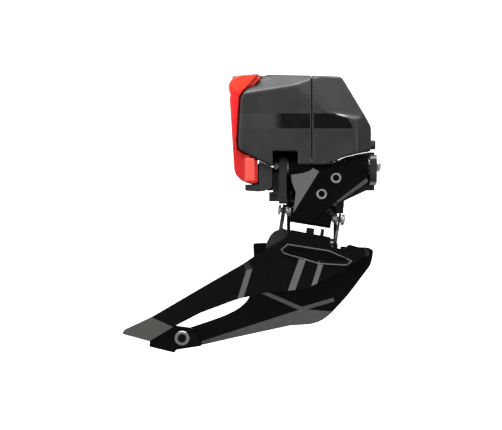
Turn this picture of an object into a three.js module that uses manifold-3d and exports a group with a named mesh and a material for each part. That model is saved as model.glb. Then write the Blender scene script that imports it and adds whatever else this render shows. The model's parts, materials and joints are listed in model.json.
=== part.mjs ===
// A wireless electronic front derailleur for a braze-on mount.
// Millimetres. +X is the bike's forward direction, +Z is up, and -Y is outboard, the drive side.
// The origin is on the flat face that bears on the frame's tab. The tab's bolt enters from +Y.
import * as THREE from 'three';
import { mergeVertices } from 'three/addons/utils/BufferGeometryUtils.js';
import Module from 'manifold-3d';

const wasm = await Module();
wasm.setup();

// ---------- driving dimensions ----------
const GAP = 0.3;                 // between pieces that touch on the real object
const OUTBOARD = -29;            // the housing's drive-side face
const INBOARD = -3;              // its frame-side face
const SHELL = 1.6;               // housing wall
const PARTING_X = -1.7;          // where the two shells meet
const BLOCK_Y = [-27.6, -4.4];   // width of the red contact block
const UPPER = { y: -22, z: 7.6 };        // fixed pivot of the outer link
const LOWER = { y: -16.25, z: -11.15 };  // its cage pivot, at x = 0
const CAGE_TILT = THREE.MathUtils.degToRad(9.2);   // the lower pivots point down at the front
const LINK_STEP = { y: 10, z: -10 };     // from an outer link pivot to the inner link's
const INNER_TOP = { y: UPPER.y + LINK_STEP.y, z: UPPER.z + LINK_STEP.z };
const INNER_LOW = { y: LOWER.y + LINK_STEP.y, z: LOWER.z + LINK_STEP.z };
const BARREL_R = 3.9;            // the outer link's lower knuckle
const UPPER_PIN_R = 1.5;
const LOWER_PIN_R = 1.0;
const EAR_REAR = [-13.9, -11.1]; // the bracket's ears, along X
const EAR_FRONT = [20.25, 22.7];
const OUTER_PLATE = [-22, -20.6];
const INNER_PLATE = [-9, -7.8];
const FAR = 200;                 // longer than anything here, for cutting planes

// ---------- finishes ----------
const finish = (color, roughness, metalness) => ({ color, roughness, metalness });
const SHELL_GREY = finish(0x3c3c3e, 0.62, 0);
const DEEP_GREY = finish(0x2c2c2e, 0.55, 0);
const GLOSS_BLACK = finish(0x0c0c0d, 0.18, 0);
const ANODISED = finish(0x2a2a2c, 0.45, 0.6);
const RED = finish(0xe12626, 0.4, 0);
const STEEL = finish(0xc8c6c0, 0.28, 1);
const DARK_STEEL = finish(0x4a4a4c, 0.4, 1);
const BRASS = finish(0xc9a04e, 0.35, 1);
const RUBBER = finish(0x161616, 0.85, 0);
const CLEAR = finish(0xd8dce0, 0.12, 0);
const BOARD_GREEN = finish(0x1f5a38, 0.5, 0);

// ---------- solids ----------
function solid(geometry) {
  geometry.deleteAttribute('normal');
  geometry.deleteAttribute('uv');
  const merged = mergeVertices(geometry, 1e-4);
  const triVerts = new Uint32Array(merged.index.array);
  const vertProperties = new Float32Array(merged.attributes.position.array);
  return new wasm.Manifold(new wasm.Mesh({ numProp: 3, vertProperties, triVerts }));
}

function outline(points) {
  return new THREE.Shape(points.map(([u, v]) => new THREE.Vector2(u, v)));
}

// Rounds each listed corner of a polygon: a point given as [u, v, r] gets an arc of about radius r.
function rounded(points, steps = 4) {
  const result = [];
  points.forEach(([u, v, r], i) => {
    if (!r) {
      result.push([u, v]);
      return;
    }
    const here = new THREE.Vector2(u, v);
    const before = points[(i + points.length - 1) % points.length];
    const after = points[(i + 1) % points.length];
    const toBefore = new THREE.Vector2(before[0], before[1]).sub(here);
    const toAfter = new THREE.Vector2(after[0], after[1]).sub(here);
    const start = here.clone().addScaledVector(toBefore, Math.min(r / toBefore.length(), 0.49));
    const end = here.clone().addScaledVector(toAfter, Math.min(r / toAfter.length(), 0.49));
    const arc = new THREE.QuadraticBezierCurve(start, here, end);
    arc.getPoints(steps).forEach((p) => result.push([p.x, p.y]));
  });
  return result;
}

// A prism on an outline. 'xz' runs along Y, 'yz' runs along X, 'xy' runs along Z.
const PLANES = {
  xz: [[1, 0, 0], [0, 0, 1], [0, -1, 0]],
  yz: [[0, 1, 0], [0, 0, 1], [1, 0, 0]],
  xy: [[1, 0, 0], [0, 1, 0], [0, 0, 1]],
};
function prism(points, plane, from, to) {
  const geometry = new THREE.ExtrudeGeometry(outline(points), { depth: to - from, bevelEnabled: false });
  const axes = PLANES[plane].map((a) => new THREE.Vector3(...a));
  geometry.applyMatrix4(new THREE.Matrix4().makeBasis(...axes));
  const shift = plane === 'xz' ? [0, to, 0] : axes[2].clone().multiplyScalar(from).toArray();
  geometry.translate(...shift);
  return solid(geometry);
}

function box([x0, x1], [y0, y1], [z0, z1]) {
  const geometry = new THREE.BoxGeometry(x1 - x0, y1 - y0, z1 - z0);
  geometry.translate((x0 + x1) / 2, (y0 + y1) / 2, (z0 + z1) / 2);
  return solid(geometry);
}

// A turned piece. The profile is [distance along the axis, radius], from one end to the other.
function turned(profile, start, direction, sides = 20) {
  const points = profile.map(([along, r]) => new THREE.Vector2(r, along));
  const geometry = new THREE.LatheGeometry(points, sides);
  const axis = new THREE.Vector3(...direction).normalize();
  geometry.applyQuaternion(new THREE.Quaternion().setFromUnitVectors(new THREE.Vector3(0, 1, 0), axis));
  geometry.translate(...start);
  return solid(geometry);
}

function rod(start, direction, length, radius, sides = 20) {
  return turned([[0, 0], [0, radius], [length, radius], [length, 0]], start, direction, sides);
}

// A rod along X, and one along Y.
function rodX([x0, x1], { y, z }, radius, sides = 20) {
  return rod([x0, y, z], [1, 0, 0], x1 - x0, radius, sides);
}
function rodY([y0, y1], x, z, radius, sides = 20) {
  return rod([x, y0, z], [0, 1, 0], y1 - y0, radius, sides);
}

// Everything on the far side of the plane through three points, seen from `side`.
function beyond(a, b, c, side) {
  const origin = new THREE.Vector3(...a);
  const normal = new THREE.Vector3(...b).sub(origin).cross(new THREE.Vector3(...c).sub(origin));
  normal.normalize();
  if (normal.dot(new THREE.Vector3(...side)) < 0) normal.negate();
  const geometry = new THREE.BoxGeometry(FAR, FAR, FAR);
  geometry.translate(0, 0, FAR / 2);
  geometry.applyQuaternion(new THREE.Quaternion().setFromUnitVectors(new THREE.Vector3(0, 0, 1), normal));
  geometry.translate(...a);
  return solid(geometry);
}

// ---------- the scene graph ----------
const derailleur = new THREE.Group();
derailleur.name = 'front_derailleur';

function add(name, body, look, parent = derailleur) {
  const mesh = body.getMesh();
  const geometry = new THREE.BufferGeometry();
  geometry.setAttribute('position', new THREE.BufferAttribute(mesh.vertProperties, 3));
  geometry.setIndex(new THREE.BufferAttribute(mesh.triVerts, 1));
  geometry.computeVertexNormals();
  const piece = new THREE.Mesh(geometry, new THREE.MeshStandardMaterial(look));
  piece.name = name;
  parent.add(piece);
  return piece;
}

// ---------- housing ----------
const HOUSING_OUTLINE = rounded([
  [-20.8, 41.9], [9.4, 40.95, 1.2], [18.6, 25.6, 1.5], [20.6, 22.2, 1.2], [20.6, 13.1, 0.6],
  [16.1, 12.4], [10.9, 11.1], [5.25, 8.6, 1], [3.75, 7.9], [-6.9, 7.9, 0.6],
  [-6.9, 12.9, 0.9], [-16.3, 12.9, 0.4], [-16.3, 7.3], [-28.9, 13.5, 0.8], [-29.4, 16],
  [-28.4, 33], [-27.1, 34.9],
]);

function housingBlock(inset) {
  const y0 = OUTBOARD + inset;
  const y1 = INBOARD - inset;
  const lower = (z) => z - inset;
  let body = prism(HOUSING_OUTLINE, 'xz', OUTBOARD, INBOARD);
  if (inset) {
    const hollow = [[-26.5, 15], [-26.6, 33], [-20, 39.6], [8.2, 38.9], [18.4, 22], [18.4, 15.2], [6, 14.8]];
    body = prism(hollow, 'xz', y0, y1);
  }
  // the top leans back towards both sides
  body = body.subtract(beyond([-19.3, y0, lower(35.8)], [8.85, y0, lower(40.35)],
    [-20.8, y0 + 7.4, lower(41.9)], [0, -1, 1]));
  body = body.subtract(beyond([-19.3, y1, lower(36.8)], [8.85, y1, lower(40.35)],
    [-20.8, y1 - 6, lower(41.9)], [0, 1, 1]));
  // the nose tapers above a brow that falls towards the front
  const aboveBrow = prism([[-40, 34.9], [4, 27.2], [19.2, 24.6], [30, 22.7], [30, 60], [-40, 60]],
    'xz', -FAR, FAR);
  body = body.subtract(beyond([4, y0, lower(27.2)], [19.2, y0 + 1.8, lower(24.6)],
    [9.4, y0 + 3.4, lower(40.95)], [0.6, -1, 0.3]).intersect(aboveBrow));
  body = body.subtract(beyond([4, y1, lower(27.2)], [19.2, y1 - 1.8, lower(24.6)],
    [9.4, y1 - 3.4, lower(40.95)], [0.6, 1, 0.3]).intersect(aboveBrow));
  // and its front corners are taken off below the crease
  body = body.subtract(beyond([15, y0, 10], [15, y0, 24], [20.6 - inset, y0 + 4.6, 10], [0.6, -1, 0]));
  body = body.subtract(beyond([15, y1, 10], [15, y1, 24], [20.6 - inset, y1 - 4.6, 10], [0.6, 1, 0]));
  return body;
}

// The slot under the housing that the outer link's top knuckles and its spring turn in.
function knuckleSlot() {
  const half = 5.3;
  return prism(rounded([
    [UPPER.y - half, 0], [UPPER.y + half, 0], [UPPER.y + half, 13.2, 3], [UPPER.y - half, 13.2, 3],
  ]), 'yz', -16.4, FAR);
}

// The latch's lugs stand inside the rear shell's top corner.
const LATCH_AXIS = { x: -20.4, z: 39.5 };
function latchLugs() {
  const profile = [[-24.6, 36.6], [-17.6, 36.6], [-17.6, 41], [-21.2, 41], [-24.4, 37.4]];
  return prism(profile, 'xz', -24.2, -7.8).subtract(box([-26, -18.2], [-22, -10], [30, 43]));
}

// Two pairs of sprung contacts come through the rear wall.
function contactRods(radius) {
  let rods = rodX([-30, -24], { y: -19, z: 21.5 }, radius, 14);
  for (const [y, z] of [[-19, 27], [-13, 21.5], [-13, 27]]) {
    rods = rods.add(rodX([-30, -24], { y, z }, radius, 14));
  }
  return rods;
}

// The contact block has a raised lip that sits in the housing's rear edge. `slack` widens its recess.
const LIP_Y = [-25.6, -6.4];
function rearLip(slack) {
  const shape = [[-21.4, 41], [-20.7 + slack, 40.4], [-26.9 + slack, 33.4], [-28.3 + slack, 32.4],
    [-28.7 + slack, 16.2], [-28.2 + slack, 14 + slack], [-21.9, 10.7 + slack], [-21.9, 9],
    [-30.2, 9], [-30.2, 41]];
  return prism(shape, 'xz', LIP_Y[0] - slack, LIP_Y[1] + slack);
}

function housingShells() {
  const body = housingBlock(0)
    .subtract(knuckleSlot())
    .subtract(box([-FAR, FAR], [UPPER.y + 5.2, 0], [0, 7.7]))
    .subtract(box([EAR_REAR[0] - 0.5, EAR_REAR[1] + 0.5], [-17, -8.9], [0, 11.4]))
    .subtract(housingBlock(SHELL))
    .add(box([-16.4, -6.8], [-8.4, INBOARD], [7.7, 15.2]));
  const rear = body.intersect(box([-FAR, PARTING_X - GAP / 2], [-FAR, FAR], [-FAR, FAR]))
    .add(latchLugs(body))
    .subtract(rearLip(GAP))
    .subtract(box([-26, -18.2], [-22, -10], [37.4, 43]))
    .subtract(rodY([-24, -8], LATCH_AXIS.x, LATCH_AXIS.z, 1.05, 16))
    .subtract(contactRods(0.85));
  const front = body.intersect(box([PARTING_X + GAP / 2, FAR], [-FAR, FAR], [-FAR, FAR]))
    .subtract(box([17, 22], [-18.9, -17.1], [17.3, 22.2]))
    .subtract(rodX([17, 22], { y: -16, z: 15.5 }, 2.05, 16));
  add('housing_rear_shell', rear, SHELL_GREY);
  add('housing_front_shell', front, SHELL_GREY);
}
housingShells();


// ---------- contact block, its foot and its latch ----------
function contactBlock() {
  const side = rounded([
    [-21.3, 41.9], [-27.6, 41.4], [-31.2, 40.4, 2], [-32.9, 37.9, 1], [-32.4, 32.9], [-31.2, 13.8],
    [-30.6, 4.8, 1.5], [-27.9, 1.95, 1], [-24.75, 0.9], [-21.9, 0.9, 0.4], [-21.9, 9.6],
    [-29.4, 13.2], [-29.8, 16], [-28.8, 33.2], [-27.6, 35.2],
  ]);
  let block = prism(side, 'xz', ...BLOCK_Y);
  // a shallow groove runs round the block below its top
  block = block.subtract(box([-FAR, -32.1], [-FAR, FAR], [33.2, 35.2]));
  // the raised strip down each lower side
  for (const [y0, y1] of [[BLOCK_Y[0] - 1, BLOCK_Y[0] + 0.8], [BLOCK_Y[1] - 0.8, BLOCK_Y[1] + 1]]) {
    block = block.add(box([-26.5, -23.1], [y0, y1], [1.6, 10.2])
      .subtract(beyond([-29.4, 0, 13.2], [-21.9, 0, 9.6], [-21.9, 5, 9.6], [0, 0, 1])));
  }
  block = block.add(rearLip(0).subtract(box([-22.2, 0], [-FAR, FAR], [-FAR, 20])))
    .subtract(box([-26.4, -21], [-19, -13], [-1, 9.2]))
    .subtract(box([-30.4, -26], [-21, -11], [19.5, 29]));
  return block.subtract(box([-34, -18], [-22, -10], [38.1, FAR]));
}
add('contact_block', contactBlock(), RED);

function batteryFoot() {
  const heel = prism(rounded([
    [-26.6, 0.5], [-26.6, -1.7, 0.5], [-21.6, -2.1], [-19.3, -1.8], [-17.4, -1.0, 0.6], [-16.5, -0.4],
    [-16.5, 7.0], [-21.4, 9.3], [-21.5, 0.5],
  ]), 'xz', -27.4, -9);
  const key = box([-24.2, -21.4], [-18.6, -13.4], [-0.5, 8.4]);
  return heel.subtract(box([-20.4, 0], [-25.2, -10.6], [0.8, 20])).add(key);
}
add('battery_foot', batteryFoot(), SHELL_GREY);

function batteryLatch() {
  const lever = prism(rounded([
    [-31.5, 38.6, 0.4], [-31.5, 41, 0.8], [-27.4, 41.7, 0.8], [-20.6, 41.5, 0.8], [-18.9, 40.2, 1],
    [-18.9, 38.9, 1], [-20.2, 37.9, 1], [-22.2, 38.6],
  ]), 'xz', -21.6, -10.4);
  return lever.subtract(rodY([-30, 0], LATCH_AXIS.x, LATCH_AXIS.z, 1.05, 16));
}
add('battery_latch', batteryLatch(), DEEP_GREY);
add('latch_pin', rodY([-23.8, -8.2], LATCH_AXIS.x, LATCH_AXIS.z, 0.75, 16), STEEL);

// ---------- what shows on the housing's nose ----------
const BUTTON = { x: 22.2, y: -16, z: 15.5 };
function nosePieces() {
  const stem = turned([[0, 0], [0, 1.75], [1.4, 1.75], [1.8, 1.35], [1.8, 0]],
    [20.7, BUTTON.y, BUTTON.z], [1, 0, 0], 24).add(rodX([17.6, 20.9], BUTTON, 1.0, 16));
  add('function_button', stem, RUBBER);
  add('status_lens', box([17.4, 20.5], [-18.6, -17.4], [17.6, 21.9]), CLEAR);
}
nosePieces();

// ---------- bracket ----------
function bracket() {
  // the plate that bears on the frame's tab, with the threaded hole for its bolt
  let body = prism(rounded([
    [-11, 7.3, 1], [-11, -9.2, 2], [11, -9.2, 2], [11, 7.3, 1],
  ]), 'xz', -4.6, 0);
  // a bridge under the housing joins the plate to both ears
  body = body.add(box([-18.4, 22.4], [-8.7, -3.0], [-1.6, 7.2]));
  // a web closes the space under the housing's nose
  body = body.add(prism([
    [4.6, 7], [4.6, 8.0], [10.9, 10.9], [16.1, 12.2], [20.6, 12.9], [22.4, 12.9], [22.4, 7],
  ], 'xz', -8.7, -3.3));
  const rearEar = prism(rounded([
    [-9.4, 10.9, 1.5], [-26, 10.9, 2.5], [-26, -6.7, 1.2], [-20.5, -6.7, 1.2], [-12, -4.8], [-3.2, -4.8],
    [-3.2, 7.3], [-9.4, 7.3],
  ]), 'yz', ...EAR_REAR);
  const frontEar = prism(rounded([
    [-8.4, 7.3], [-16, 11.6, 2], [-25.8, 11.6, 2.5], [-25.8, 1.4, 2.5], [-14, 0.4],
    [-3.2, 0.4], [-3.2, 7.3],
  ]), 'yz', ...EAR_FRONT);
  body = body.add(rearEar).add(frontEar);
  // the boss for the support screw, behind the rear ear
  body = body.add(box([-17.6, -13.4], [-25.8, -16.4], [-5.8, -2.25]));
  body = body.add(box([-16.1, -13.2], [-24, -7], [-2.6, 4.9]));
  // the front arm, which runs down behind the outer link
  const arm = prism(rounded([
    [22.6, 1.6, 0.6], [21.4, -0.6], [18.75, -1.9], [11.25, -5.4, 1], [10.7, -5.8], [10.7, -10.3, 0.6],
    [7.5, -10.3, 0.6], [7.5, 3], [14, 6.4], [22.6, 6.4],
  ]), 'xz', -7.8, -3.3);
  return body.add(arm).subtract(box([14.9, 16.2], [-8.2, -6.2], [-2.3, -0.3]));
}
function bracketHoles(body) {
  const lugX = [[-9.1, -6.8], [4.2, 6.5]];
  for (const x of lugX) {
    // lugs for the inner link's pivot
    const lug = prism(rounded([
      [-4, 2.6], [INNER_TOP.y - 3, 0.8, 2.8], [INNER_TOP.y - 3, -5.4, 2.8], [INNER_TOP.y + 3, -5.4, 2],
      [-4, -7],
    ]), 'yz', ...x);
    body = body.add(lug);
  }
  body = body.subtract(rodX([-FAR / 2, FAR / 2], INNER_TOP, UPPER_PIN_R + 0.05, 24)
    .intersect(box([-10.4, 8], [-FAR, FAR], [-FAR, FAR])));
  body = body.subtract(rodX([-20, 30], UPPER, UPPER_PIN_R + 0.25, 24));
  body = body.subtract(rodY([-10, 1], 0, -5.1, 2.1, 24));
  body = body.subtract(rodY([-30, -18], -15.8, -3.75, 1.35, 20));
  return body;
}
add('base_bracket', bracketHoles(bracket()), ANODISED);
add('support_screw', turned([[0, 0], [0, 1.1], [6.2, 1.1], [6.8, 0.6], [6.8, 0]],
  [-15.8, -25.2, -3.75], [0, 1, 0], 18)
  .subtract(rodY([-25.7, -23.6], -15.8, -3.75, 0.62, 6)), DARK_STEEL);

// ---------- upper pivot ----------
add('upper_pivot_pin', turned([
  [0, 0], [0, 1.3], [0.8, 1.3], [0.8, 0.9], [1.6, 0.9], [1.6, UPPER_PIN_R], [39, UPPER_PIN_R],
  [39, 2.35], [39.6, 2.35], [40.2, 1.6], [40.4, 0],
], [-16.05, UPPER.y, UPPER.z], [1, 0, 0], 20), STEEL);

// ---------- outer link ----------
// Its front face is parallel to the line between its two pivots.
const LINK_LENGTH = Math.hypot(LOWER.y - UPPER.y, LOWER.z - UPPER.z);
const LINK_OUT = [-(UPPER.z - LOWER.z) / LINK_LENGTH, -(LOWER.y - UPPER.y) / LINK_LENGTH];
function linkFaceY(z, offset = 4.3) {
  return UPPER.y + (offset - LINK_OUT[1] * (z - UPPER.z)) / LINK_OUT[0];
}
function onFace(x, z, back = 0) {
  return [x, linkFaceY(z) + back, z];
}
// A rod on the tilted lower axis. s runs along that axis, from x = 0.
function lowerPoint(s, up = 0, y = LOWER.y) {
  return [s * Math.cos(CAGE_TILT) + up * Math.sin(CAGE_TILT), y,
    LOWER.z - s * Math.sin(CAGE_TILT) + up * Math.cos(CAGE_TILT)];
}
const LOWER_DIRECTION = [Math.cos(CAGE_TILT), 0, -Math.sin(CAGE_TILT)];
function rodLower([s0, s1], radius, sides = 20, shift = { y: 0, z: 0 }) {
  return rod(lowerPoint(s0, shift.z, LOWER.y + shift.y), LOWER_DIRECTION, s1 - s0, radius, sides);
}

const LIMIT_SCREWS = { limit_screw_high: [7.4, 3.0], limit_screw_low: [2.06, -3.0] };
function outerLink() {
  const shape = rounded([
    [-6.7, 7.6], [-10.3, 4.35, 0.4], [-7.6, -2.4, 0.6], [-8.6, -10.5], [-9, -12.2], [6.2, -14],
    [6.3, -12.2], [7.5, -10.4], [7.7, -6.7, 0.5], [19.5, 1.5, 0.4], [19.5, 11.1], [6.5, 8.3],
  ]);
  let link = prism(shape, 'xz', -40, 0);
  link = link.subtract(beyond(onFace(0, 0), onFace(9, 0), onFace(0, 9), [0, -1, 0]));
  const inner = (x, z) => [x, linkFaceY(z, -1.7), z];
  link = link.subtract(beyond(inner(0, 0), inner(9, 0), inner(0, 9), [0, 1, 0]));
  // the facets of the front face
  link = link.subtract(beyond(onFace(0.94, 5.2), onFace(-6.3, -6.5), onFace(-10.3, 4.35, 2.9), [-1, -1, 0]));
  link = link.subtract(beyond(onFace(1.1, 5.4), onFace(19.5, 10.3, 1.4), onFace(-6.7, 7.6, 1.7), [0, -1, 2]));
  link = link.subtract(beyond(onFace(5.2, 1), onFace(7.6, -5.8), onFace(19.5, 5, 1.5), [1, -1, 0]));
  link = link.subtract(beyond(onFace(7.5, -6.2, 0.4), onFace(19.5, 3.4, 1.5),
    onFace(19.5, 1.5, 3.6), [0, -1, -2]));
  // knuckles on both pivots, with room for the spring between the upper ones
  link = link.add(rodX([-10.2, -1], UPPER, 3.5, 28)).add(rodX([15.4, 19.4], UPPER, 3.5, 28));
  link = link.subtract(rodX([-0.9, 15.3], UPPER, 2.75, 28));
  link = link.add(rodLower([-9.3, 6.1], BARREL_R, 32));
  link = link.subtract(rodX([-11, 20], UPPER, UPPER_PIN_R + 0.12, 24));
  link = link.subtract(rodLower([-12, 12], LOWER_PIN_R + 0.6, 20));
  for (const [x, z] of Object.values(LIMIT_SCREWS)) {
    link = link.subtract(rodY([-40, linkFaceY(z) + 1.5], x, z, 2.55, 28));
    link = link.subtract(rodY([-40, 0], x, z, 1.35, 18));
  }
  return link;
}
add('outer_link', outerLink(), GLOSS_BLACK);

function limitScrew([x, z]) {
  const top = linkFaceY(z) - 0.15;
  const profile = [[0, 0], [0, 1.75], [0.35, 2.1], [1.3, 2.1], [1.3, 1.1], [7, 1.1], [7.4, 0.7], [7.4, 0]];
  const screw = turned(profile,
    [x, top, z], [0, 1, 0], 24);
  return screw.subtract(rodY([top - 1, top + 1], x, z, 1.05, 6));
}
for (const [name, place] of Object.entries(LIMIT_SCREWS)) add(name, limitScrew(place), STEEL);

// ---------- the lower pivot ----------
add('lower_pivot_pin', turned([
  [0, 0], [0, 1.5], [0.5, 1.95], [1.0, 1.95], [1.0, LOWER_PIN_R], [25.4, LOWER_PIN_R], [25.4, 0],
], lowerPoint(-14.4), LOWER_DIRECTION, 20), STEEL);
add('lower_pin_nut', turned([
  [0, 1.25], [0, 2.0], [1.0, 2.0], [1.4, 1.6], [1.4, 1.25], [0, 1.25],
], lowerPoint(9.7), LOWER_DIRECTION, 20).subtract(rodLower([0, 20], 1.25, 20)), STEEL);
function bushing(s, length) {
  const groove = length / 2;
  const profile = [[0, 1.15], [0, 1.6], [groove - 0.15, 1.6], [groove, 1.35], [groove + 0.15, 1.6],
    [length, 1.6], [length, 1.15], [0, 1.15]];
  return turned(profile, lowerPoint(s), LOWER_DIRECTION, 20);
}
add('rear_bushing', bushing(-11.1, 1.5), STEEL);
add('front_bushing', bushing(6.5, 1.6), STEEL);

// ---------- inner link ----------
const ARM_REAR = [-10.8, -9.5];
const ARM_FRONT = [6.9, 8.2];
function slantedBar(half, x) {
  const [dy, dz] = [(INNER_LOW.y - INNER_TOP.y) / LINK_LENGTH, (INNER_LOW.z - INNER_TOP.z) / LINK_LENGTH];
  const side = ([y, z], k) => [y + dz * half * k, z - dy * half * k];
  const [top, low] = [[INNER_TOP.y, INNER_TOP.z], [INNER_LOW.y, INNER_LOW.z]];
  return prism([side(top, 1), side(top, -1), side(low, -1), side(low, 1)], 'yz', ...x);
}
function innerLink() {
  let link = slantedBar(1.3, [ARM_REAR[0], ARM_FRONT[1]]);
  // the web between the arms only fills the middle
  link = link.subtract(box([ARM_REAR[1], ARM_FRONT[0]], [-FAR, FAR], [-6, FAR]))
    .subtract(box([ARM_REAR[1], ARM_FRONT[0]], [-FAR, FAR], [-FAR, -13]));
  for (const x of [ARM_REAR, ARM_FRONT]) {
    link = link.add(rodX(x, INNER_TOP, 2.4, 24)).add(rodX(x, { y: INNER_LOW.y, z: INNER_LOW.z
      - (x[0] + x[1]) / 2 * Math.tan(CAGE_TILT) }, 2.3, 24));
    link = link.add(slantedBar(1.3, x));
  }
  link = link.subtract(rodX([-12, 12], INNER_TOP, UPPER_PIN_R + 0.12, 24));
  return link.subtract(rodLower([-14, 14], 1.45, 24, LINK_STEP));
}
add('inner_link', innerLink(), DEEP_GREY);
add('inner_upper_pin', rodX([-10.8, 8.9], INNER_TOP, UPPER_PIN_R - 0.35, 20), STEEL);
add('inner_lower_pin', rodLower([-9.8, 10.3], 1.0, 16, LINK_STEP), STEEL);

// ---------- upper pivot's small parts ----------
// An open clip in the pin's groove, behind the rear ear.
function retainingClip() {
  const ring = rodX([-15.2, -14.6], UPPER, 2.5, 24).subtract(rodX([-16, -14], UPPER, 1.1, 20));
  return ring.subtract(box([-16, -14], [UPPER.y - 0.7, UPPER.y + 0.7], [0, UPPER.z]));
}
add('retaining_clip', retainingClip(), STEEL);
function washer(x0, thickness, outer) {
  return rodX([x0, x0 + thickness], UPPER, outer, 24)
    .subtract(rodX([x0 - 1, x0 + thickness + 1], UPPER, UPPER_PIN_R + 0.2, 24));
}
add('rear_washer', washer(-10.95, 0.55, 3.1), STEEL);
add('front_washer', washer(19.6, 0.45, 3.1), DARK_STEEL);

class Helix extends THREE.Curve {
  constructor(radius, pitch, turns, x0) {
    super();
    Object.assign(this, { radius, pitch, turns, x0 });
  }
  getPoint(t, target = new THREE.Vector3()) {
    const angle = 2 * Math.PI * this.turns * t;
    return target.set(this.x0 + this.pitch * this.turns * t,
      UPPER.y + this.radius * Math.cos(angle), UPPER.z + this.radius * Math.sin(angle));
  }
}
function torsionSpring() {
  const wire = 0.34;
  const turns = 8;
  const section = new THREE.Shape();
  section.absarc(0, 0, wire, 0, 2 * Math.PI, false);
  return solid(new THREE.ExtrudeGeometry(section, {
    extrudePath: new Helix(2.1, 1.65, turns, 0.6), steps: turns * 12, curveSegments: 3, bevelEnabled: false,
  }));
}
add('torsion_spring', torsionSpring(), STEEL);

// ---------- cage ----------
const PLATE_OUTLINE = rounded([
  [-72.9, -55.5, 0.6], [-71.9, -53.9, 0.5], [-61.8, -49.2], [-42.5, -37.9], [-27.4, -29.2], [-23.1, -26.3],
  [-11.6, -19.65, 1], [-9.7, -16.4, 0.8], [5.4, -19.2, 0.5], [5.4, -22.9, 1.2], [10.6, -23.7, 1.4],
  [12.2, -21.9, 0.8], [18.5, -23.6, 0.8], [18.3, -25.8], [15.3, -28.8, 1], [5.25, -34.2], [-4.1, -38.8, 2],
  [-16.95, -39.7, 3], [-29.4, -42.4, 2], [-43.2, -47.55], [-53.6, -52.9], [-62.6, -58.3],
]);
const WINDOW = [
  [-13.1, -23.4, 2], [-10.3, -21.5, 1.5], [4.9, -24.1, 2], [13.9, -28.3, 1], [11.4, -30, 1.5],
  [0.7, -29.4, 2], [-12.0, -25.6, 1.5],
];
const WINDOW_CENTRE = [-1.0, -25.7];
function shrunk(points, kx, kz) {
  const [cx, cz] = WINDOW_CENTRE;
  return rounded(points.map(([x, z, r]) => [cx + (x - cx) * kx, cz + (z - cz) * kz, r * kx]));
}
const SKIN = OUTER_PLATE[0] + 0.7;    // the plate's face between its raised panels
const PAN_BACK = OUTER_PLATE[1] + 1;
function cageOuterPlate() {
  const inside = ([...limits]) => prism(PLATE_OUTLINE, 'xz', ...limits);
  let plate = inside([SKIN, OUTER_PLATE[1]]);
  const top = OUTER_PLATE[0];
  // the tail panel is raised, with a kinked bevel at its front end
  let tail = inside([top, SKIN + 0.1]);
  tail = tail.subtract(beyond([-24.2, SKIN, -32.1], [-27, SKIN, -41.3], [-26.4, top, -32.3], [1, -1, 0]));
  tail = tail.subtract(beyond([-25.6, SKIN, -28], [-24, SKIN, -30.9], [-27.5, top, -29.1], [1, -1, 0]));
  // the very end is a flat facet that leans in towards the tip
  const endFacet = beyond([-61.8, top, -49.2], [-53.6, top, -52.9], [-72.9, top + 1.1, -55.5], [-1, -1, 0]);
  tail = tail.subtract(endFacet);
  plate = plate.subtract(endFacet);
  // a raised panel across the middle, bevelled on both sides
  let middle = inside([top, SKIN + 0.1]).intersect(box([-11, 3], [-FAR, FAR], [-FAR, -27.2]));
  middle = middle.subtract(beyond([-6.6, SKIN, -28], [-10.4, SKIN, -38.7], [-3.9, top, -28], [-1, -1, 0]));
  middle = middle.subtract(beyond([2.6, SKIN, -29.7], [0.45, SKIN, -36.5], [0.7, top, -29.7], [1, -1, 0]));
  const rim = prism(shrunk(WINDOW, 1, 1), 'xz', top + 0.1, SKIN + 0.1);
  plate = plate.add(tail).add(middle).add(rim);
  // the pan behind the window closes it
  plate = plate.add(prism(shrunk(WINDOW, 0.97, 0.9), 'xz', SKIN, PAN_BACK));
  plate = plate.subtract(prism(shrunk(WINDOW, 0.86, 0.62), 'xz', -40, PAN_BACK - 0.7));
  // ribs inside the window
  for (const [x0, z0, x1, z1] of [[-12, -23.2, 12, -27.8], [-9, -24.4, 6, -28.4], [-3, -22, -1, -29]]) {
    const profile = [[x0, z0], [x1, z1], [x1, z1 - 0.7], [x0 - 0.7, z0 - 0.7]];
    const rib = prism(profile, 'xz', SKIN + 0.2, PAN_BACK - 0.3);
    plate = plate.add(rib.intersect(prism(shrunk(WINDOW, 0.97, 0.9), 'xz', -40, 0)));
  }
  return plate;
}
add('cage_outer_plate', cageOuterPlate(), GLOSS_BLACK);

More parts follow.
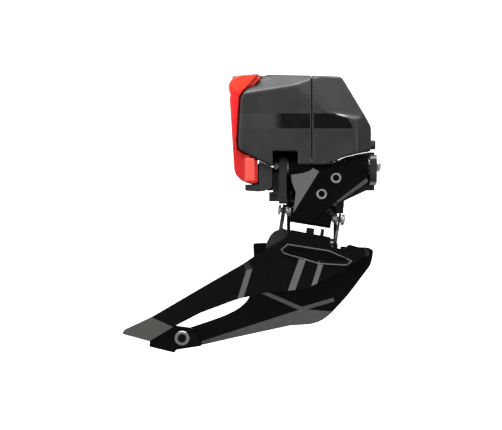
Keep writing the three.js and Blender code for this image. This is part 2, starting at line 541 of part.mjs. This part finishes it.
function strip(from, to, width, y0, y1) {
  const [dx, dz] = [to[0] - from[0], to[1] - from[1]];
  const k = width / 2 / Math.hypot(dx, dz);
  const side = ([x, z], s) => [x - dz * k * s, z + dx * k * s];
  return prism([side(from, 1), side(from, -1), side(to, -1), side(to, 1)], 'xz', y0, y1);
}
const ELBOW = [-5.25, -46.5];
function cageInnerPlate() {
  const shape = rounded([
    [-52.3, -54.6, 1], [-47.1, -53.4], [-41.4, -51.5], [-34.2, -49, 3], [-28, -45.8, 3], [-24.2, -41.2, 3],
    [-23.2, -30], [-23.6, -21.6, 1], [-18.8, -21.4, 1], [-12.8, -22.4], [-12.2, -26, 1], [-4.8, -26, 1],
    [-4.8, -19.45], [2.6, -20.65], [2.6, -26, 1], [9, -26, 1], [9.6, -22.8], [20.1, -23.2, 1], [22, -24.3, 0.8],
    [21.2, -29.5, 2], [12.4, -41.25, 2], [4.5, -49.9, 4], [-0.4, -52.3, 3], [-9.8, -52.9], [-30.6, -57.4],
    [-42.6, -60.1, 1], [-51.5, -61.0, 1],
  ]);
  let plate = prism(shape, 'xz', INNER_PLATE[0], INNER_PLATE[1] + 3);
  const front = INNER_PLATE[0];
  const faces = (y) => [
    beyond([ELBOW[0], y, ELBOW[1]], [-42, y, -58.4], [-9.8, y + 1.7, -52.9], [0, -1, -1]),
    beyond([ELBOW[0], y, ELBOW[1]], [14, y, -34.5], [9.1, y + 1.7, -46.05], [0, -1, -1]),
  ];
  for (const cut of faces(front)) plate = plate.subtract(cut);
  // the same shape, one thickness further in, leaves a folded sheet
  let core = box([-FAR / 2, FAR / 2], [INNER_PLATE[1], INNER_PLATE[1] + 9], [-FAR / 2, FAR / 2]);
  for (const cut of faces(INNER_PLATE[1])) core = core.subtract(cut);
  plate = plate.subtract(core);
  const rib = [front - 0.5, front + 0.3];
  plate = plate.add(strip([-19.9, -40.1], ELBOW, 1.5, ...rib)).add(strip(ELBOW, [7.1, -42.9], 1.5, ...rib));
  return plate;
}
add('cage_inner_plate', cageInnerPlate(), GLOSS_BLACK);

// The yoke hangs from the lower pivot and carries both plates.
function cageYoke() {
  const group = (points, s0, s1) => {
    const piece = new THREE.ExtrudeGeometry(outline(points), { depth: s1 - s0, bevelEnabled: false });
    const axes = [[0, 1, 0], [0, 0, 1], [1, 0, 0]].map((a) => new THREE.Vector3(...a));
    piece.applyMatrix4(new THREE.Matrix4().makeBasis(...axes));
    piece.translate(s0, 0, 0);
    piece.rotateY(CAGE_TILT);
    piece.translate(0, LOWER.y, LOWER.z);
    return solid(piece);
  };
  const ear = rounded([[-2.4, 0], [-2.4, 2.3, 2.3], [2.4, 2.3, 2.3], [2.4, -2], [4.2, -7.2], [4.2, -8.8],
    [-3.9, -8.8], [-3.9, -7.2, 1], [-2.4, -4]], 4);
  let yoke = group(ear, -12.9, -11.5).add(group(ear, 8.6, 9.4));
  yoke = yoke.add(group([[-3.9, -7.5], [-3.9, -8.8], [4.2, -8.8], [4.2, -7.5]], -12.9, 9.4));
  yoke = yoke.add(group([[4, -7.5], [4, -8.8], [12.2, -8.8], [12.2, -7.5]], -6.9, 6.7));
  const lug = rounded([[7.7, -7.6], [7.7, -12.4, 2.4], [12.2, -12.4, 2.4], [12.2, -7.6]]);
  yoke = yoke.add(group(lug, -6.9, -5.2)).add(group(lug, 5.1, 6.7));
  // a stop block and a post stand on the plate
  yoke = yoke.add(group([[1, -4.9], [1, -7.6], [3.4, -7.6], [3.4, -4.9]], -2.6, 0.4));
  yoke = yoke.add(group([[1, -4.6], [1, -7.6], [2.4, -7.6], [2.4, -4.6]], 2.8, 4.1));
  // a curled web behind the outer plate steadies the rear ear
  yoke = yoke.add(prism(rounded([
    [-12.6, -15.8], [-16.6, -17.4, 2], [-19.2, -22.6, 2], [-18, -24.2], [-9.5, -20.4], [-10.6, -16.6],
  ]), 'xz', -20.2, -18.9));
  yoke = yoke.subtract(rodLower([-20, 20], LOWER_PIN_R + 0.12, 24));
  return yoke.subtract(rodLower([-20, 20], 1.2, 24, LINK_STEP));
}
add('cage_yoke', cageYoke(), DEEP_GREY);

add('cage_front_bridge', prism(rounded([
  [12.6, -22.5, 0.8], [19.9, -23.9, 0.8], [19.9, -26.4, 0.8], [12.6, -25.2, 0.8],
]), 'xz', OUTER_PLATE[1] + GAP, INNER_PLATE[0] - GAP), DEEP_GREY);

const TAIL_RIVET = [-50.3, -57.2];
function tailBridge() {
  const flange = [[-62.4, -57.7], [-54.2, -52.2], [-47.1, -53.2], [-45.9, -54], [-42.6, -59.4], [-43.2, -60.1],
    [-50.7, -60.6], [-52.1, -61.4], [-53.25, -62.3], [-62.5, -59.2]];
  const y0 = OUTER_PLATE[1] + GAP;
  const y1 = INNER_PLATE[0] - GAP;
  let bridge = prism(flange, 'xz', y0, y0 + 1.4);
  // the web under the chain, with a stepped lower edge
  bridge = bridge.add(strip([-62.3, -58.9], [-52.6, -61.0], 1.2, y0, y1))
    .add(strip([-53, -61.0], [-43.2, -59.5], 1.2, y0, y1));
  for (let i = 0; i < 3; i += 1) {
    const drop = 0.45 * (i + 1);
    bridge = bridge.add(strip([-62.6, -58.9 - drop], [-53.1, -61.2 - drop], 0.5, y0 + 1.1 * (i + 1), y1));
  }
  return bridge.subtract(rodY([-30, 0], ...TAIL_RIVET, 1.75, 24));
}
add('cage_tail_bridge', tailBridge(), GLOSS_BLACK);
function cageTailRivet() {
  const head = OUTER_PLATE[1] - 0.6;
  return turned([[0.35, 0], [0.35, 1.3], [0, 1.3], [0, 2.5], [0.25, 2.8], [0.6, 2.8], [0.6, 1.5], [11.2, 1.5],
    [11.2, 0]], [TAIL_RIVET[0], head, TAIL_RIVET[1]], [0, 1, 0], 24);
}
add('cage_tail_rivet', cageTailRivet(), DARK_STEEL);

// ---------- inside the housing ----------
function insides() {
  add('motor', rodX([-23, -5], { y: -11.5, z: 29 }, 5.6, 28)
    .add(rodX([-5.1, -1.5], { y: -11.5, z: 29 }, 0.8, 14)), STEEL);
  const shaftHole = rodX([-1.2, 1], { y: -11.5, z: 29 }, 1.4, 16);
  add('gearbox', box([-1, 6], [-22, -8.2], [16.5, 34.2]).subtract(shaftHole),
    DEEP_GREY);
  add('circuit_board', box([-24, -3.4], [-24.6, -23.2], [16.8, 34]), BOARD_GREEN);
  add('radio_module', box([-18, -8], [-22.9, -20.6], [19, 29]), STEEL);
  for (const [name, y, z] of [['a', -19, 21.5], ['b', -19, 27], ['c', -13, 21.5], ['d', -13, 27]]) {
    add(`contact_pin_${name}`, rodX([-29.9, -26.2], { y, z }, 0.6, 12), BRASS);
  }
  add('button_seal', rodX([18.4, 19.8], BUTTON, 1.85, 16).subtract(rodX([18, 21], BUTTON, 1.2, 12)), RUBBER);
}
insides();

export default derailleur;
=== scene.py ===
# The looks of a wireless electronic front derailleur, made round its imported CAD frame.
# Metres. +X is the bike's forward direction, +Z is up, and the camera looks along +Y.
import json
import math

import bmesh
import bpy
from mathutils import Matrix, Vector


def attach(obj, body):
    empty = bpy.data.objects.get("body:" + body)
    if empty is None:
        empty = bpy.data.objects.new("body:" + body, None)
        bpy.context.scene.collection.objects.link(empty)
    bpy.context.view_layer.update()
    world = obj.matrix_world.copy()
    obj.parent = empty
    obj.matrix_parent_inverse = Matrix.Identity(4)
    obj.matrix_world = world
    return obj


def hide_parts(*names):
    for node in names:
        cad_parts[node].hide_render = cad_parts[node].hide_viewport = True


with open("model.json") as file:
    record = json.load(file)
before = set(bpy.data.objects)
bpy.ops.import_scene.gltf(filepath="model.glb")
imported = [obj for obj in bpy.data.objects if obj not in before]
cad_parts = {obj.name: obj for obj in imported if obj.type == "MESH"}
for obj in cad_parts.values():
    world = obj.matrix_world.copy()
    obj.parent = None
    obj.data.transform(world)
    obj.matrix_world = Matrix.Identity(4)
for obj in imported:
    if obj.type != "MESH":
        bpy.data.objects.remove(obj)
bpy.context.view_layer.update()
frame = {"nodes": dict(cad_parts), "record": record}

MM = 0.001

# ---------- materials ----------


class Material:
    """A node material, with short calls for the nodes that the finishes share."""

    def __init__(self, name, colour, roughness, metallic=0.0, specular=0.5):
        self.material = bpy.data.materials.new(name)
        self.material.use_nodes = True
        self.tree = self.material.node_tree
        self.shader = self.tree.nodes["Principled BSDF"]
        self.shader.inputs["Base Color"].default_value = (*colour, 1)
        self.shader.inputs["Roughness"].default_value = roughness
        self.shader.inputs["Metallic"].default_value = metallic
        self.shader.inputs["Specular IOR Level"].default_value = specular
        self.place = self.node("ShaderNodeTexCoord").outputs["Object"]
        axes = self.node("ShaderNodeSeparateXYZ")
        self.link(self.place, axes.inputs["Vector"])
        self.x, self.y, self.z = (axes.outputs[name] for name in "XYZ")

    def node(self, kind, **settings):
        made = self.tree.nodes.new(kind)
        for key, value in settings.items():
            setattr(made, key, value)
        return made

    def link(self, output, target):
        self.tree.links.new(output, target)

    def noise(self, scale, detail=4.0, stretch=(1, 1, 1)):
        mapping = self.node("ShaderNodeMapping")
        mapping.inputs["Scale"].default_value = stretch
        self.link(self.place, mapping.inputs["Vector"])
        noise = self.node("ShaderNodeTexNoise")
        noise.inputs["Scale"].default_value = scale
        noise.inputs["Detail"].default_value = detail
        self.link(mapping.outputs["Vector"], noise.inputs["Vector"])
        return noise.outputs["Fac"]

    def ranged(self, value, low, high, start=0.3, end=0.7):
        spread = self.node("ShaderNodeMapRange")
        spread.inputs["From Min"].default_value = start
        spread.inputs["From Max"].default_value = end
        spread.inputs["To Min"].default_value = low
        spread.inputs["To Max"].default_value = high
        self.link(value, spread.inputs["Value"])
        return spread.outputs["Result"]

    def rough(self, value, low, high):
        self.link(self.ranged(value, low, high), self.shader.inputs["Roughness"])

    def tint(self, factor, first, second):
        mix = self.node("ShaderNodeMix", data_type="RGBA")
        self.link(factor, mix.inputs["Factor"])
        mix.inputs["A"].default_value = (*first, 1)
        mix.inputs["B"].default_value = (*second, 1)
        self.link(mix.outputs["Result"], self.shader.inputs["Base Color"])

    def calculate(self, operation, first, second):
        node = self.node("ShaderNodeMath", operation=operation)
        for value, target in zip((first, second), node.inputs):
            if isinstance(value, (int, float)):
                target.default_value = value
            else:
                self.link(value, target)
        return node.outputs[0]

    def both(self, first, second):
        return self.calculate("MULTIPLY", first, second)

    def between(self, value, low, high):
        above = self.calculate("GREATER_THAN", value, low)
        return self.both(above, self.calculate("LESS_THAN", value, high))

    def stroke(self, start, end, half):
        """1 within half a width of the line from start to end, in X and Z millimetres."""
        run = Vector(end) - Vector(start)
        length = run.length
        run.normalize()
        right = self.calculate("SUBTRACT", self.x, start[0] * MM)
        up = self.calculate("SUBTRACT", self.z, start[1] * MM)
        along = self.calculate("ADD", self.both(right, run.x), self.both(up, run.y))
        aside = self.calculate("SUBTRACT", self.both(up, run.x), self.both(right, run.y))
        ends = self.between(along, -half * MM, (length + half) * MM)
        return self.both(ends, self.between(aside, -half * MM, half * MM))

    def paint(self, mask, colour):
        """Paints a colour over what the base colour shows so far, where the mask is 1."""
        socket = self.shader.inputs["Base Color"]
        over = self.node("ShaderNodeMix", data_type="RGBA")
        self.link(mask, over.inputs["Factor"])
        self.link(socket.links[0].from_socket, over.inputs["A"])
        over.inputs["B"].default_value = (*colour, 1)
        self.link(over.outputs["Result"], socket)

    def bump(self, height, strength, distance):
        bump = self.node("ShaderNodeBump")
        bump.inputs["Strength"].default_value = strength
        bump.inputs["Distance"].default_value = distance
        self.link(height, bump.inputs["Height"])
        self.link(bump.outputs["Normal"], self.shader.inputs["Normal"])


def moulded(name, colour, roughness, grain_depth=0.00003):
    """Moulded plastic with a fine spark-eroded grain."""
    m = Material(name, colour, roughness)
    grain = m.noise(2600, 3)
    m.rough(m.noise(140, 4), roughness - 0.06, roughness + 0.08)
    lighter = tuple(c * 1.25 for c in colour)
    m.tint(m.ranged(m.noise(900, 2), 0, 1), colour, lighter)
    m.bump(grain, 0.35, grain_depth)
    return m.material


def gloss(name, colour, roughness):
    """Painted gloss with a faint orange peel and fine handling marks."""
    m = Material(name, colour, roughness)
    m.rough(m.noise(320, 5), roughness - 0.02, roughness + 0.06)
    m.bump(m.noise(700, 2), 0.03, 0.00001)
    return m.material


def metal(name, colour, roughness, stretch=(1, 12, 12)):
    """Turned or drawn metal, brushed along X."""
    m = Material(name, colour, roughness, metallic=1.0)
    brush = m.noise(900, 4, stretch)
    m.rough(brush, roughness - 0.05, roughness + 0.14)
    m.tint(m.ranged(m.noise(200, 3), 0, 1), colour, tuple(c * 0.8 for c in colour))
    m.bump(brush, 0.12, 0.00001)
    return m.material


SHELL_COLOUR = (0.008, 0.008, 0.009)
BAND_Z = (0.0214, 0.0270)      # the gloss band's edges
BAND_FRONT = 0.0108            # its front end, along its top edge
BAND_SLANT = 0.54              # how far that end runs forward for each metre down
BAND_SIDE = -0.0215            # it is only outboard of here
BAND_REAR = -0.0142            # the middle of its faded rear end
BAND_FADE = 0.0036
BAND_BLACK = (0.003, 0.003, 0.004)
BAND_PALE = (0.05, 0.05, 0.053)   # what shows of it behind the fade


def shell_material():
    """Moulded grey with a gloss band across the drive side, faded in at its rear end."""
    m = Material("shell_grain", SHELL_COLOUR, 0.5)
    front = m.calculate("ADD", m.x, m.both(m.z, BAND_SLANT))
    inside = m.both(m.between(m.z, *BAND_Z), m.calculate("LESS_THAN", m.y, BAND_SIDE))
    inside = m.both(inside, m.calculate("LESS_THAN", front, BAND_FRONT + BAND_SLANT * BAND_Z[1]))
    dots = m.both(m.calculate("SUBTRACT", m.noise(2200, 1), 0.5), BAND_FADE * 1.2)
    ragged = m.calculate("ADD", m.x, dots)
    fade = m.ranged(ragged, 0, 1, BAND_REAR - BAND_FADE / 2, BAND_REAR + BAND_FADE / 2)
    band = m.both(inside, fade)
    plain = m.calculate("SUBTRACT", 1.0, band)
    m.tint(m.ranged(m.noise(900, 2), 0, 1), SHELL_COLOUR, tuple(c * 1.3 for c in SHELL_COLOUR))
    m.paint(m.both(m.both(inside, 0.2), m.calculate("SUBTRACT", 1.0, fade)), BAND_PALE)
    m.paint(band, BAND_BLACK)
    matte = m.ranged(m.noise(140, 4), 0.44, 0.58)
    m.link(m.calculate("ADD", matte, m.both(band, -0.3)), m.shader.inputs["Roughness"])
    m.bump(m.both(m.noise(2600, 3), plain), 0.3, 0.00003)
    return m.material


RED_COLOUR = (0.70, 0.012, 0.014)
# painted highlight colour, for the block's top and its two grooves
RED_HIGHLIGHT = (0.84, 0.045, 0.02)
RED_STRIP = (0.86, 0.075, 0.055)
RED_GROOVES = (0.0355, 0.0328)     # their heights
RED_GROOVE_HIGHLIGHT_HALF = 0.0002
RED_FOOT = 0.012               # it is darker from the lower groove down to here
RED_STRIP_X = (-0.02655, -0.0231)
RED_STRIP_Z = (0.0012, 0.0117)


def red_material():
    """Red moulding: a painted highlight over its top and along two grooves under that, and a paler strip
    low down.
    """
    m = Material("red_moulding", RED_COLOUR, 0.38)
    m.rough(m.noise(140, 4), 0.32, 0.44)
    m.tint(m.ranged(m.z, 0, 1, RED_FOOT, RED_GROOVES[1]), tuple(c * 0.72 for c in RED_COLOUR), RED_COLOUR)
    # painted highlight: lighter orange over the block's top, where the top light falls
    m.paint(m.ranged(m.z, 0, 0.9, RED_GROOVES[0], RED_GROOVES[0] + 0.001), RED_HIGHLIGHT)
    # painted highlights along the two grooves
    for height in RED_GROOVES:
        groove_highlight = m.between(m.z, height - RED_GROOVE_HIGHLIGHT_HALF, height + RED_GROOVE_HIGHLIGHT_HALF)
        m.paint(m.both(groove_highlight, 0.7), RED_HIGHLIGHT)
    strip = m.both(m.between(m.x, *RED_STRIP_X), m.between(m.z, *RED_STRIP_Z))
    m.paint(strip, RED_STRIP)
    m.bump(m.noise(2600, 3), 0.2, 0.00001)
    return m.material


def metal_with_shade_rings(name, colour, centre, shade_rings):
    """Turned metal with rings of painted shade round a Y axis. shade_rings: (inner radius, outer radius,
    colour).
    """
    m = Material(name, colour, 0.4, metallic=1.0)
    m.rough(m.noise(900, 4), 0.36, 0.5)
    m.tint(m.noise(300, 2), colour, tuple(c * 0.85 for c in colour))
    across = m.calculate("SUBTRACT", m.x, centre[0] * MM)
    up = m.calculate("SUBTRACT", m.z, centre[1] * MM)
    squared = m.calculate("ADD", m.both(across, across), m.both(up, up))
    radius = m.calculate("SQRT", squared, 0.0)
    for inner, outer, shade_colour in shade_rings:
        m.paint(m.between(radius, inner * MM, outer * MM), shade_colour)
    m.bump(m.noise(1400, 3), 0.1, 0.00001)
    return m.material


GLOSS_BLACK = (0.0025, 0.0025, 0.003)
TAIL_EDGE = ((-0.0618, -0.0492), (-0.0536, -0.0529))   # where the tail facet starts, in X and Z
TAIL_GREY = (0.062, 0.060, 0.056)
# in X and Z millimetres
WINDOW_RIM = [(-13.1, -23.9), (-10.6, -21.9), (4.9, -24.3), (13.4, -28.2), (11.4, -29.7), (0.9, -29.0),
              (-12.0, -25.2)]
RIB = [(-19.9, -40.1), (-5.25, -46.5), (7.1, -42.9)]
# painted highlight colour, for the window's rim and the inner plate's rib
RIM_AND_RIB_HIGHLIGHT = (0.11, 0.11, 0.108)
RIB_HIGHLIGHT_HALF_WIDTH = 0.75
RIM_HIGHLIGHT_HALF_WIDTH = 0.22
RIB_FACE_Y = -0.0085           # the paint is only outboard of these
RIM_FACE_Y = -0.0212


def rib_highlight_material():
    """The gloss coat of the inner plate, with a painted highlight along its chevron rib."""
    m = Material("gloss_coat_rib_highlight", GLOSS_BLACK, 0.12)
    m.rough(m.noise(320, 5), 0.1, 0.18)
    m.tint(m.noise(320, 5), GLOSS_BLACK, tuple(c * 1.5 for c in GLOSS_BLACK))
    outboard = m.calculate("LESS_THAN", m.y, RIB_FACE_Y)
    # painted highlight along the chevron rib
    for start, end in zip(RIB, RIB[1:]):
        m.paint(m.both(m.stroke(start, end, RIB_HIGHLIGHT_HALF_WIDTH), outboard), RIM_AND_RIB_HIGHLIGHT)
    m.bump(m.noise(700, 2), 0.03, 0.00001)
    return m.material


def plate_material():
    """The gloss coat, with a paler satin facet at the cage's tail and a painted highlight round its
    window.
    """
    m = Material("tailed_gloss_coat", GLOSS_BLACK, 0.12)
    (x0, z0), (x1, z1) = TAIL_EDGE
    along = m.both(m.calculate("SUBTRACT", m.x, x0), z1 - z0)
    over = m.both(m.calculate("SUBTRACT", m.z, z0), x1 - x0)
    tail = m.calculate("LESS_THAN", m.calculate("SUBTRACT", over, along), 0.0)
    m.tint(m.noise(320, 5), GLOSS_BLACK, tuple(c * 1.5 for c in GLOSS_BLACK))
    m.paint(tail, TAIL_GREY)
    outboard = m.calculate("LESS_THAN", m.y, RIM_FACE_Y)
    # painted highlight round the window's rim
    for start, end in zip(WINDOW_RIM, WINDOW_RIM[1:] + WINDOW_RIM[:1]):
        m.paint(m.both(m.stroke(start, end, RIM_HIGHLIGHT_HALF_WIDTH), outboard), RIM_AND_RIB_HIGHLIGHT)
    m.link(m.calculate("ADD", m.ranged(m.noise(320, 5), 0.1, 0.18), m.both(tail, 0.25)),
           m.shader.inputs["Roughness"])
    m.bump(m.noise(700, 2), 0.03, 0.00001)
    return m.material


SHELL = shell_material()
DEEP = moulded("deep_grain", (0.007, 0.007, 0.008), 0.42)
GLOSS = gloss("gloss_black_coat", GLOSS_BLACK, 0.12)
ANODISED = moulded("anodised_black", (0.010, 0.010, 0.011), 0.42, 0.00001)
RED = red_material()
STEEL = metal("bright_steel", (0.80, 0.78, 0.74), 0.38)
DARK_STEEL = metal("dark_steel", (0.10, 0.10, 0.105), 0.38)
BRASS = metal("contact_brass", (0.66, 0.42, 0.12), 0.25)
RUBBER = moulded("button_rubber", (0.012, 0.012, 0.012), 0.7)
BOARD = moulded("board_mask", (0.01, 0.09, 0.035), 0.4)


def lens_material():
    m = Material("lens_clear", (0.75, 0.78, 0.8), 0.08)
    m.rough(m.noise(300, 2), 0.06, 0.14)
    m.shader.inputs["Transmission Weight"].default_value = 0.4
    return m.material


FINISHES = {
    "shell_grey": SHELL, "deep_grey": DEEP, "gloss_black": GLOSS, "anodised": ANODISED,
    "contact_red": RED, "steel": STEEL, "dark_steel": DARK_STEEL, "contact_brass": BRASS,
    "rubber": RUBBER, "lens_clear": lens_material(), "board_green": BOARD,
}
SCREW_STEEL = (0.78, 0.76, 0.71)
# painted shade in the six-lobe socket and round the head's rim
SCREW_SHADE_RINGS = [(0.0, 1.25, (0.02, 0.02, 0.02)), (1.95, 3.0, (0.45, 0.44, 0.41))]
RIVET_STEEL = (0.36, 0.35, 0.33)
# painted shade in the rivet's centre recess and round its edge
RIVET_SHADE_RINGS = [(0.0, 1.5, (0.015, 0.015, 0.015)), (1.5, 1.8, (0.12, 0.12, 0.12))]
FINISH_OF = {
    "limit_screw_high": metal_with_shade_rings("high_screw_steel", SCREW_STEEL, (7.4, 3.0), SCREW_SHADE_RINGS),
    "limit_screw_low": metal_with_shade_rings("low_screw_steel", SCREW_STEEL, (2.06, -3.0), SCREW_SHADE_RINGS),
    "cage_tail_rivet": metal_with_shade_rings("rivet_steel", RIVET_STEEL, (-50.3, -57.2), RIVET_SHADE_RINGS),
    "cage_outer_plate": plate_material(),
    "cage_inner_plate": rib_highlight_material(),
}
SLOT_OF = {part["node"]: part["material_slot"] for part in frame["record"]["subparts"]}
EDGE_RADIUS = {
    "housing_rear_shell": 0.5, "housing_front_shell": 0.5, "contact_block": 0.45, "battery_foot": 0.4,
    "outer_link": 0.3, "base_bracket": 0.3, "cage_outer_plate": 0.16, "cage_inner_plate": 0.2,
}
SMALL_EDGE = 0.08


def dress(node, obj):
    """Gives a CAD node its finish, and rounds its sharp edges."""
    obj.data.materials.clear()
    obj.data.materials.append(FINISH_OF.get(node, FINISHES[SLOT_OF[node]]))
    for face in obj.data.polygons:
        face.use_smooth = True
    edge = obj.modifiers.new("edges", "BEVEL")
    edge.width = EDGE_RADIUS.get(node, SMALL_EDGE) * MM
    edge.segments = 3
    edge.limit_method = "ANGLE"
    edge.angle_limit = math.radians(28)
    edge.use_clamp_overlap = True
    edge.harden_normals = True


for node_name, node_object in frame["nodes"].items():
    dress(node_name, node_object)


# ---------- softened mouldings ----------
BODY_OF = {node: body for body, nodes in frame["record"]["behaviour"]["bodies"].items() for node in nodes}


def applied(obj):
    """The object's mesh with its modifiers applied."""
    graph = bpy.context.evaluated_depsgraph_get()
    mesh = bpy.data.meshes.new_from_object(obj.evaluated_get(graph))
    obj.modifiers.clear()
    obj.data = mesh


def softened(node, voxel, rounds, softness):
    """Stands a copy with rounded creases in for a node. softness(point) is 0 where an edge stays crisp."""
    obj = bpy.data.objects.new(node + "_moulding", frame["nodes"][node].data.copy())
    bpy.context.collection.objects.link(obj)
    remesh = obj.modifiers.new("remesh", "REMESH")
    remesh.mode = "VOXEL"
    remesh.voxel_size = voxel * MM
    applied(obj)
    group = obj.vertex_groups.new(name="soft")
    for vertex in obj.data.vertices:
        group.add([vertex.index], softness(vertex.co / MM), "REPLACE")
    smooth = obj.modifiers.new("smooth", "SMOOTH")
    smooth.factor = 0.5
    smooth.iterations = rounds
    smooth.vertex_group = "soft"
    applied(obj)
    for face in obj.data.polygons:
        face.use_smooth = True
    obj.data.materials.clear()
    obj.data.materials.append(FINISHES[SLOT_OF[node]])
    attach(obj, BODY_OF[node])
    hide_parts(node)


def ramp(value, low, high):
    return min(max((value - low) / (high - low), 0.0), 1.0)


PARTING_X = -1.7               # millimetres, as the mouldings' points are
SHELL_BOTTOM = 13.0


def shell_softness(point):
    away = ramp(abs(point.x - PARTING_X), 0.4, 1.2)
    return away * ramp(point.z, SHELL_BOTTOM - 1, SHELL_BOTTOM + 3) * 0.95 + 0.05 * away


def block_softness(point):
    return 0.25 + 0.75 * ramp(point.z, 12, 34)


for shell in ("housing_rear_shell", "housing_front_shell"):
    softened(shell, 0.3, 24, shell_softness)
softened("contact_block", 0.3, 12, block_softness)


# ---------- stage ----------
VIEW_CENTRE = (-0.0244, -0.0109)      # X and Z at the middle of the view
VIEW_WIDTH = 0.18825
CAMERA_DISTANCE = 1.2
SENSOR = 36.0


def camera():
    data = bpy.data.cameras.new("view")
    data.sensor_width = SENSOR
    data.lens = SENSOR * CAMERA_DISTANCE / VIEW_WIDTH
    obj = bpy.data.objects.new("view", data)
    obj.location = (VIEW_CENTRE[0], -CAMERA_DISTANCE - 0.022, VIEW_CENTRE[1])
    obj.rotation_euler = (math.radians(90), 0, 0)
    bpy.context.collection.objects.link(obj)
    bpy.context.scene.camera = obj


FLOOR_Z = -0.13
FLOOR_HALF = 3.0
SWEEP_RADIUS = 0.5
SWEEP_START = 0.7


def floor():
    """A pale floor that curves up into a backdrop. Reflections and shadows leave it out."""
    profile = [(-FLOOR_HALF, FLOOR_Z), (SWEEP_START, FLOOR_Z)]
    for i in range(1, 13):
        angle = math.radians(90 * i / 12)
        profile.append((SWEEP_START + SWEEP_RADIUS * math.sin(angle),
                        FLOOR_Z + SWEEP_RADIUS * (1 - math.cos(angle))))
    profile.append((SWEEP_START + SWEEP_RADIUS, FLOOR_HALF))
    mesh = bpy.data.meshes.new("floor")
    bm = bmesh.new()
    rows = [[bm.verts.new((x, y, z)) for x in (-FLOOR_HALF, FLOOR_HALF)] for y, z in profile]
    for a, b in zip(rows, rows[1:]):
        bm.faces.new((a[0], a[1], b[1], b[0]))
    bm.to_mesh(mesh)
    bm.free()
    for face in mesh.polygons:
        face.use_smooth = True
    obj = bpy.data.objects.new("floor", mesh)
    bpy.context.collection.objects.link(obj)
    pale = Material("pale_floor", (0.85, 0.85, 0.85), 0.8)
    pale.rough(pale.noise(6, 2), 0.75, 0.85)
    pale.shader.inputs["Emission Color"].default_value = (1, 1, 1, 1)
    pale.shader.inputs["Emission Strength"].default_value = 0.85
    mesh.materials.append(pale.material)
    obj.visible_glossy = False
    obj.visible_diffuse = False
    obj.visible_shadow = False


def area_light(name, place, target, size, power):
    data = bpy.data.lights.new(name, "AREA")
    data.shape = "RECTANGLE"
    data.size, data.size_y = size
    data.energy = power
    obj = bpy.data.objects.new(name, data)
    obj.location = place
    direction = Vector(target) - Vector(place)
    obj.rotation_euler = direction.to_track_quat("-Z", "Y").to_euler()
    bpy.context.collection.objects.link(obj)


ROOM_FRONT = 0.06
ROOM_REAR = 0.9


def room():
    """A world that is dim in front of the object and pale behind it."""
    world = bpy.data.worlds.new("studio")
    world.use_nodes = True
    tree = world.node_tree
    background = tree.nodes["Background"]
    background.inputs["Color"].default_value = (1, 1, 1, 1)
    direction = tree.nodes.new("ShaderNodeTexCoord")
    axes = tree.nodes.new("ShaderNodeSeparateXYZ")
    spread = tree.nodes.new("ShaderNodeMapRange")
    spread.inputs["From Min"].default_value = 0.1
    spread.inputs["From Max"].default_value = 0.5
    spread.inputs["To Min"].default_value = ROOM_FRONT
    spread.inputs["To Max"].default_value = ROOM_REAR
    tree.links.new(direction.outputs["Generated"], axes.inputs["Vector"])
    tree.links.new(axes.outputs["Y"], spread.inputs["Value"])
    tree.links.new(spread.outputs["Result"], background.inputs["Strength"])
    bpy.context.scene.world = world
    bpy.context.scene.view_settings.view_transform = "Standard"


def lights():
    middle = (-0.02, -0.015, -0.01)
    area_light("top_softbox", (-0.05, -0.25, 0.75), middle, (0.9, 0.5), 22)
    area_light("left_softbox", (-0.55, -0.68, -0.05), middle, (0.5, 0.7), 4)
    area_light("right_softbox", (0.62, -0.62, 0.0), middle, (0.4, 0.6), 3)
    area_light("low_softbox", (0.20, -0.58, -0.56), middle, (0.22, 0.2), 0.3)


camera()
floor()
lights()
room()
